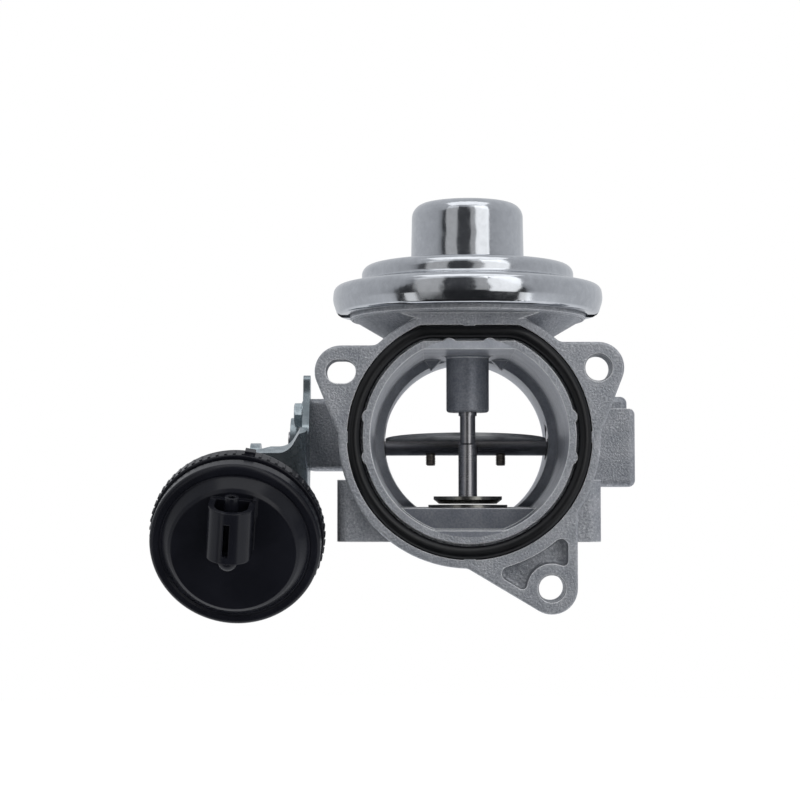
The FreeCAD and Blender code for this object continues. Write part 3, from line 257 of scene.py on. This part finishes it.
def rolled_steel():
    """Rolled steel of the flap: smooth, with faint rolling lines across the throat."""
    material, tree, shader, place = start_material("rolled_dark_steel", Metallic=0.4)
    lines = noise(tree, place, 0.6 * MM, 3.0, 0.6, (12, 1, 1))
    colour = ramp(tree, lines, [(0.3, "#B9BBBE"), (0.7, "#C9C9CA")])
    tree.links.new(colour, shader.inputs["Base Color"])
    tree.links.new(spread(tree, lines, 0.34, 0.40, 0.3, 0.7), shader.inputs["Roughness"])
    return material


def blackened_steel():
    """Screws blackened in oil: dark, a little brown, satin."""
    material, tree, shader, place = start_material("oil_blackened_steel", Metallic=0.8, Roughness=0.34)
    patch = noise(tree, place, 0.9 * MM, 3.0)
    tree.links.new(ramp(tree, patch, [(0.3, "#8A837C"), (0.7, "#A8A098")]), shader.inputs["Base Color"])
    return material


def spring_steel():
    """Drawn spring wire: dark grey with an oily sheen."""
    material, tree, shader, place = start_material("drawn_spring_wire", Metallic=1.0, Roughness=0.34)
    grain = noise(tree, place, 0.7 * MM, 3.0)
    tree.links.new(ramp(tree, grain, [(0.3, "#4A4A4C"), (0.7, "#636366")]), shader.inputs["Base Color"])
    return material


def sintered_bronze():
    """Sintered bronze: warm brown metal with fine pores."""
    material, tree, shader, place = start_material("sintered_bronze", Metallic=1.0, Roughness=0.45)
    pores = noise(tree, place, 0.3 * MM, 3.0, 0.7)
    tree.links.new(ramp(tree, pores, [(0.35, "#6A5134"), (0.6, "#A5845A")]), shader.inputs["Base Color"])
    tree.links.new(bump(tree, pores, 0.05 * MM, 0.4), shader.inputs["Normal"])
    return material


def rubber():
    """Moulded rubber cord: black with a soft sheen along the ridge and a little bloom."""
    material, tree, shader, place = start_material("moulded_nitrile_rubber", Metallic=0.0, IOR=1.5)
    shader.inputs["Specular IOR Level"].default_value = 0.42
    bloom = noise(tree, place, 5 * MM, 4.0, 0.6)
    tree.links.new(ramp(tree, bloom, [(0.35, "#06070A"), (0.75, "#0B0C10")]), shader.inputs["Base Color"])
    tree.links.new(spread(tree, bloom, 0.30, 0.40, 0.3, 0.7), shader.inputs["Roughness"])
    return material


def nylon():
    """Glass-filled nylon, moulded: black, satin, with a fine spark-eroded grain."""
    material, tree, shader, place = start_material("glass_filled_nylon", Metallic=0.0, IOR=1.5)
    shader.inputs["Specular IOR Level"].default_value = 0.25
    grain = noise(tree, place, 0.35 * MM, 3.0, 0.6)
    patch = noise(tree, place, 12 * MM, 2.0)
    tree.links.new(ramp(tree, patch, [(0.35, "#17181E"), (0.7, "#1D1E25")]), shader.inputs["Base Color"])
    tree.links.new(spread(tree, patch, 0.20, 0.24, 0.35, 0.7), shader.inputs["Roughness"])
    relief = bump(tree, grain, 0.01 * MM, 0.2, Normal=edges(tree, 0.4 * MM)[1])
    tree.links.new(relief, shader.inputs["Normal"])
    return material


finishes = {
    cast_aluminium: ["housing"],
    bright_steel: ["dome_cover", "dome_vacuum_tube"],
    zinc_plate: ["dome_base_plate", "lower_diaphragm_plate", "upper_diaphragm_plate", "shaft_plug",
                 "throttle_lever", "lever_pin", "can_bracket", "bracket_bolts", "can_nuts",
                 "actuator_rod", "rod_eye"],
    ground_steel: ["valve_stem", "guide_bush", "stem_seal", "throttle_shaft"],
    heat_steel: ["valve_seat", "valve_disc"],
    rolled_steel: ["flap_plate"],
    blackened_steel: ["flap_screws"],
    spring_steel: ["dome_spring", "can_spring", "pin_clip"],
    sintered_bronze: ["shaft_bushes"],
    rubber: ["flange_o_ring", "dome_diaphragm", "shaft_seal", "can_diaphragm"],
    nylon: ["can_shell", "can_lid", "piston_cup"],
}


def soft_shading():
    """Joins a solid's loose triangles and shades its curved faces smooth, up to 28 degrees."""
    tree = bpy.data.node_groups.new("soft_shading", "GeometryNodeTree")
    tree.interface.new_socket("Geometry", in_out="INPUT", socket_type="NodeSocketGeometry")
    tree.interface.new_socket("Geometry", in_out="OUTPUT", socket_type="NodeSocketGeometry")
    start = add(tree, "NodeGroupInput")
    weld = add(tree, "GeometryNodeMergeByDistance", inputs={"Distance": 0.004 * MM},
               links={"Geometry": start.outputs[0]})
    angle = add(tree, "GeometryNodeInputMeshEdgeAngle")
    sharp = add(tree, "FunctionNodeCompare", {"data_type": "FLOAT", "operation": "GREATER_THAN"},
                {1: math.radians(28)}, {0: angle.outputs["Unsigned Angle"]})
    smooth = add(tree, "GeometryNodeSetShadeSmooth", {"domain": "FACE"}, {"Shade Smooth": True},
                 {"Geometry": weld.outputs["Geometry"]})
    crease = add(tree, "GeometryNodeSetShadeSmooth", {"domain": "EDGE"}, {"Shade Smooth": False},
                 {"Geometry": smooth.outputs["Geometry"], "Selection": sharp.outputs["Result"]})
    end = add(tree, "NodeGroupOutput")
    tree.links.new(crease.outputs["Geometry"], end.inputs[0])
    return tree


shading = soft_shading()
made = {}
for make, names in finishes.items():
    material = made[make] = make()
    for name in names:
        piece = nodes[name]
        piece.data.materials.clear()
        piece.data.materials.append(material)
        modifier = piece.modifiers.new("soft_shading", "NODES")
        modifier.node_group = shading
        weighted = piece.modifiers.new("flat_faces_stay_flat", "WEIGHTED_NORMAL")
        weighted.keep_sharp = True


# Pieces that the solids keep plain


def new_piece(name, mesh, make, body, smooth_under=35):
    """Turns a bmesh into a piece that rides on a body, with one of the materials."""
    bmesh.ops.recalc_face_normals(mesh, faces=mesh.faces)
    for face in mesh.faces:
        face.smooth = True
    for edge in mesh.edges:
        edge.smooth = len(edge.link_faces) == 2 and edge.calc_face_angle() < math.radians(smooth_under)
    data = bpy.data.meshes.new(name)
    mesh.to_mesh(data)
    mesh.free()
    piece = bpy.data.objects.new(name, data)
    bpy.context.scene.collection.objects.link(piece)
    data.materials.append(made[make])
    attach(piece, body)
    return piece


def along(axis, across, place):
    """Matrix from a piece's own space, with its axis along Z, to a place in the frame."""
    z = Vector(axis).normalized()
    x = (Vector(across) - Vector(across).dot(z) * z).normalized()
    return Matrix.Translation(place) @ Matrix((x, z.cross(x), z)).transposed().to_4x4()


def ring_of(mesh, radius, height, count=72):
    """Ring of points whose radius and height may depend on the angle."""
    points = []
    for step in range(count):
        angle = 2 * math.pi * step / count
        r, z = radius(angle), height(angle)
        points.append(mesh.verts.new((r * math.cos(angle), r * math.sin(angle), z)))
    return points


def bridge(mesh, rings):
    """Faces between one ring and the next."""
    for low, high in zip(rings, rings[1:]):
        for step in range(len(low)):
            after = (step + 1) % len(low)
            mesh.faces.new((low[step], low[after], high[after], high[step]))


def hexagon_piece(mesh, place, flats, low, high, hole=0.0, chamfer_low=False):
    """Hexagonal nut or bolt head with its corners turned off on a cone, a hole or a closed top."""
    apothem = flats / 2
    circle = apothem * 0.96

    def corner(angle):
        return apothem / math.cos((angle + math.pi / 6) % (math.pi / 3) - math.pi / 6)

    def drop(angle):
        return (corner(angle) - circle) * math.tan(math.radians(30))

    start = len(mesh.verts)
    rings = []
    if hole:
        rings.append(ring_of(mesh, lambda a: hole, lambda a: low))
    if chamfer_low:
        rings.append(ring_of(mesh, lambda a: circle, lambda a: low))
        rings.append(ring_of(mesh, corner, lambda a: low + drop(a)))
    else:
        rings.append(ring_of(mesh, corner, lambda a: low))
    rings.append(ring_of(mesh, corner, lambda a: high - drop(a)))
    rings.append(ring_of(mesh, lambda a: circle, lambda a: high))
    if hole:
        rings.append(ring_of(mesh, lambda a: hole, lambda a: high))
        rings.append(rings[0])
    else:
        mesh.faces.new(rings[-1])
        mesh.faces.new(rings[0][::-1])
    bridge(mesh, rings)
    mesh.verts.ensure_lookup_table()
    bmesh.ops.transform(mesh, matrix=place, verts=mesh.verts[start:])


def disc_piece(mesh, place, radius, low, high, round_r):
    """Washer with a rounded upper edge, closed in the middle by what stands on it."""
    start = len(mesh.verts)
    profile = [(radius, low), (radius, high - round_r), (radius - 0.3 * round_r, high - 0.3 * round_r),
               (radius - round_r, high)]
    rings = [ring_of(mesh, lambda a, r=r: r, lambda a, z=z: z) for r, z in profile]
    bridge(mesh, rings)
    mesh.faces.new(rings[-1])
    mesh.faces.new(rings[0][::-1])
    mesh.verts.ensure_lookup_table()
    bmesh.ops.transform(mesh, matrix=place, verts=mesh.verts[start:])


def thread(mesh, place, core, crest, pitch, low, high):
    """Ridge of a screw thread, wound round a shank from low to high and running out at both ends."""
    start = len(mesh.verts)
    around = 28
    steps = round((high - low) / pitch * around)
    rows = []
    for step in range(steps + 1):
        angle = 2 * math.pi * step / around
        z = low + pitch * step / around
        end = min(1, step / 8, (steps - step) / 8)
        top = core + (crest - core) * end
        corners = ((core - 0.06 * MM, z - 0.42 * pitch), (top, z - 0.06 * pitch), (top, z + 0.06 * pitch),
                   (core - 0.06 * MM, z + 0.42 * pitch))
        rows.append([mesh.verts.new((r * math.cos(angle), r * math.sin(angle), h)) for r, h in corners])
    for row, after in zip(rows, rows[1:]):
        for i in range(4):
            j = (i + 1) % 4
            mesh.faces.new((row[i], row[j], after[j], after[i]))
    mesh.faces.new(rows[0][::-1])
    mesh.faces.new(rows[-1])
    mesh.verts.ensure_lookup_table()
    bmesh.ops.transform(mesh, matrix=place, verts=mesh.verts[start:])


def flap_screw_threads():
    """M3 threads on the screw tips under the shaft."""
    mesh = bmesh.new()
    for x in (-flap_screw_x, flap_screw_x):
        place = along((0, 0.0523, 0.9986), (1, 0, 0), (x, flap_y, 0))
        thread(mesh, place, 1.35 * MM, 1.5 * MM, 0.5 * MM, -6.75 * MM, -4.25 * MM)
    new_piece("flap_screw_threads", mesh, blackened_steel, "throttle", 20)


def can_fasteners():
    """Chamfered nuts on the can's studs, and the studs' M4 threads beyond them."""
    nuts = bmesh.new()
    threads = bmesh.new()
    for side in (-stud_x, stud_x):
        place = along(can_axis, (0, -can_axis.z, can_axis.y),
                      can_back + Vector((side, 0, 0)) + can_axis * 22 * MM)
        hexagon_piece(nuts, place, 7 * MM, 2.02 * MM, 5.2 * MM, 1.99 * MM, True)
        thread(threads, place, 2.0 * MM, 2.12 * MM, 0.7 * MM, 5.55 * MM, 6.6 * MM)
    piece = new_piece("can_nuts_turned", nuts, zinc_plate, "housing_assembly", 12)
    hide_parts("can_nuts")
    new_piece("can_stud_threads", threads, zinc_plate, "housing_assembly", 20)


def bracket_bolt_heads():
    """Hexagon heads with turned corners on their washers, screwed into the housing's side."""
    mesh = bmesh.new()
    for y, z in ((47.3, 7.8), (66.2, 8.2)):
        place = along((-1, 0, 0), (0, 0, 1), (bracket_x, y * MM, z * MM))
        disc_piece(mesh, place, 4.2 * MM, 0.0, 0.5 * MM, 0.15 * MM)
        hexagon_piece(mesh, place, 7 * MM, 0.4 * MM, 2.8 * MM)
    piece = new_piece("bracket_bolt_heads", mesh, zinc_plate, "housing_assembly", 12)
    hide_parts("bracket_bolts")


def coils(name, node):
    """A compression spring made from its solid, its wire welded and shaded smooth, riding on the housing.
    """
    mesh = bmesh.new()
    mesh.from_mesh(nodes[node].data)
    bmesh.ops.remove_doubles(mesh, verts=mesh.verts, dist=0.004 * MM)
    piece = new_piece(name, mesh, spring_steel, "housing_assembly", 35)
    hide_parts(node)
    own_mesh(piece)


flap_screw_threads()
can_fasteners()
bracket_bolt_heads()
coils("dome_spring_coils", "dome_spring")
coils("can_spring_coils", "can_spring")


# Studio


def soft_box(name, place, target, size, brightness):
    """Area lamp of a width and height, aimed at a point. The camera doesn't see it."""
    data = bpy.data.lights.new(name, "AREA")
    data.shape = "RECTANGLE"
    data.size, data.size_y = size
    # A flat lamp's brightness is its power over pi times its area
    data.energy = brightness * math.pi * size[0] * size[1]
    lamp = bpy.data.objects.new(name, data)
    lamp.location = place
    lamp.rotation_euler = (Vector(target) - Vector(place)).to_track_quat("-Z", "Y").to_euler()
    lamp.visible_camera = False
    bpy.context.scene.collection.objects.link(lamp)


def studio():
    """Boxes right and left of the camera and one above, as the bright bands on the dome's cap show."""
    middle = (-0.01, 0.03, 0.005)
    soft_box("right_box", (0.307, -0.508, 0.165), middle, (0.30, 0.91), 1.25)
    soft_box("right_edge", (0.11, -0.56, 0.20), middle, (0.12, 0.84), 0.4)
    soft_box("left_box", (-0.36, -0.52, 0.13), middle, (0.27, 0.98), 0.47)
    soft_box("right_foot", (0.43, -0.33, -0.34), middle, (0.12, 0.26), 1.0)
    soft_box("left_foot", (-0.45, -0.33, -0.34), middle, (0.12, 0.26), 0.9)
    soft_box("top_box", (0.0, -0.25, 0.85), middle, (0.9, 0.5), 0.9)


def room_colour(tree, way):
    """The studio's walls seen in a direction: grey all round, darker by the camera and below it."""
    dark_side = (-0.115, -0.933, -0.342)
    dot = add(tree, "ShaderNodeVectorMath", {"operation": "DOT_PRODUCT"}, {1: dark_side}, {0: way})
    facing = spread(tree, dot.outputs["Value"], 0.0, 1.0, -1.0, 1.0)
    walls = ramp(tree, facing, [(0.0, "#D4D6DA"), (0.2, "#C8CACE"), (0.5, "#BDBFC3"), (0.72, "#B0B2B6"),
                                (0.775, "#8E9094")])
    parts = add(tree, "ShaderNodeSeparateXYZ", links={0: way})
    table = spread(tree, parts.outputs["Z"], 1.0, 0.0, -0.65, -0.25)
    walls = mix_colour(tree, table, walls, linear("#F2F4F8"))
    height = spread(tree, parts.outputs["Z"], 0.0, 1.0, -0.6, 0.2)
    dark = ramp(tree, height, [(0.0, "#232426"), (1.0, "#47484B")])
    return mix_colour(tree, spread(tree, facing, 0.0, 1.0, 0.775, 0.79), walls, dark)


def world_light():
    """The room lights the valve. The camera itself sees white, as the photograph's ground is."""
    world = bpy.data.worlds.new("studio_room")
    bpy.context.scene.world = world
    world.use_nodes = True
    tree = world.node_tree
    tree.nodes.clear()
    way = add(tree, "ShaderNodeTexCoord")
    room = add(tree, "ShaderNodeBackground", links={"Color": room_colour(tree, way.outputs["Generated"])})
    white = add(tree, "ShaderNodeBackground", inputs={"Color": linear("#FFFFFF")})
    path = add(tree, "ShaderNodeLightPath")
    mix = add(tree, "ShaderNodeMixShader", links={0: path.outputs["Is Camera Ray"], 1: room.outputs[0],
                                                  2: white.outputs[0]})
    output = add(tree, "ShaderNodeOutputWorld")
    tree.links.new(mix.outputs[0], output.inputs["Surface"])


def floor():
    """White paper well under the valve, with its shadow. Metal shows the room in its place."""
    drop = 0.35
    mesh = bmesh.new()
    bmesh.ops.create_circle(mesh, cap_ends=True, segments=64, radius=3.0,
                            matrix=Matrix.Translation((0, 0, cad_box[0].z - drop)))
    data = bpy.data.meshes.new("floor")
    mesh.to_mesh(data)
    mesh.free()
    ground = bpy.data.objects.new("floor", data)
    bpy.context.scene.collection.objects.link(ground)
    material = bpy.data.materials.new("white_paper")
    material.use_nodes = True
    tree = material.node_tree
    tree.nodes.clear()
    path = add(tree, "ShaderNodeLightPath")
    seen = add(tree, "ShaderNodeNewGeometry")
    way = add(tree, "ShaderNodeVectorMath", {"operation": "SCALE"}, {"Scale": -1.0},
              {0: seen.outputs["Incoming"]})
    paper = add(tree, "ShaderNodeBsdfDiffuse", inputs={"Color": linear("#F4F4F4")})
    room = add(tree, "ShaderNodeEmission", links={"Color": room_colour(tree, way.outputs[0])})
    # White where the light falls on it, and greyer in the shadow
    glow = add(tree, "ShaderNodeEmission", inputs={"Color": linear("#FFFFFF")},
               links={"Strength": spread(tree, path.outputs["Is Camera Ray"], 0.0, 0.62)})
    lit = add(tree, "ShaderNodeAddShader", links={0: paper.outputs[0], 1: glow.outputs[0]})
    mix = add(tree, "ShaderNodeMixShader", links={0: path.outputs["Is Glossy Ray"], 1: lit.outputs[0],
                                                  2: room.outputs[0]})
    output = add(tree, "ShaderNodeOutputMaterial")
    tree.links.new(mix.outputs[0], output.inputs["Surface"])
    data.materials.append(material)


def camera():
    """Where the photograph was taken from: half a metre in front, just left of and below the axis."""
    image = 800
    focal_px = 1850
    vanishing = (430, 490)          # pixel where the throat's own direction meets
    sensor = 36.0
    data = bpy.data.cameras.new("camera")
    data.sensor_width = sensor
    data.lens = sensor * focal_px / image
    data.clip_start = 0.01
    eye = bpy.data.objects.new("camera", data)
    eye.location = (-10.7 * MM, -500 * MM, -14.3 * MM)
    aim = Vector(((image / 2 - vanishing[0]) / focal_px, 1, (vanishing[1] - image / 2) / focal_px))
    eye.rotation_euler = aim.to_track_quat("-Z", "Y").to_euler()
    bpy.context.scene.collection.objects.link(eye)
    bpy.context.scene.camera = eye


studio()
world_light()
floor()
camera()
bpy.context.scene.view_settings.view_transform = "Standard"
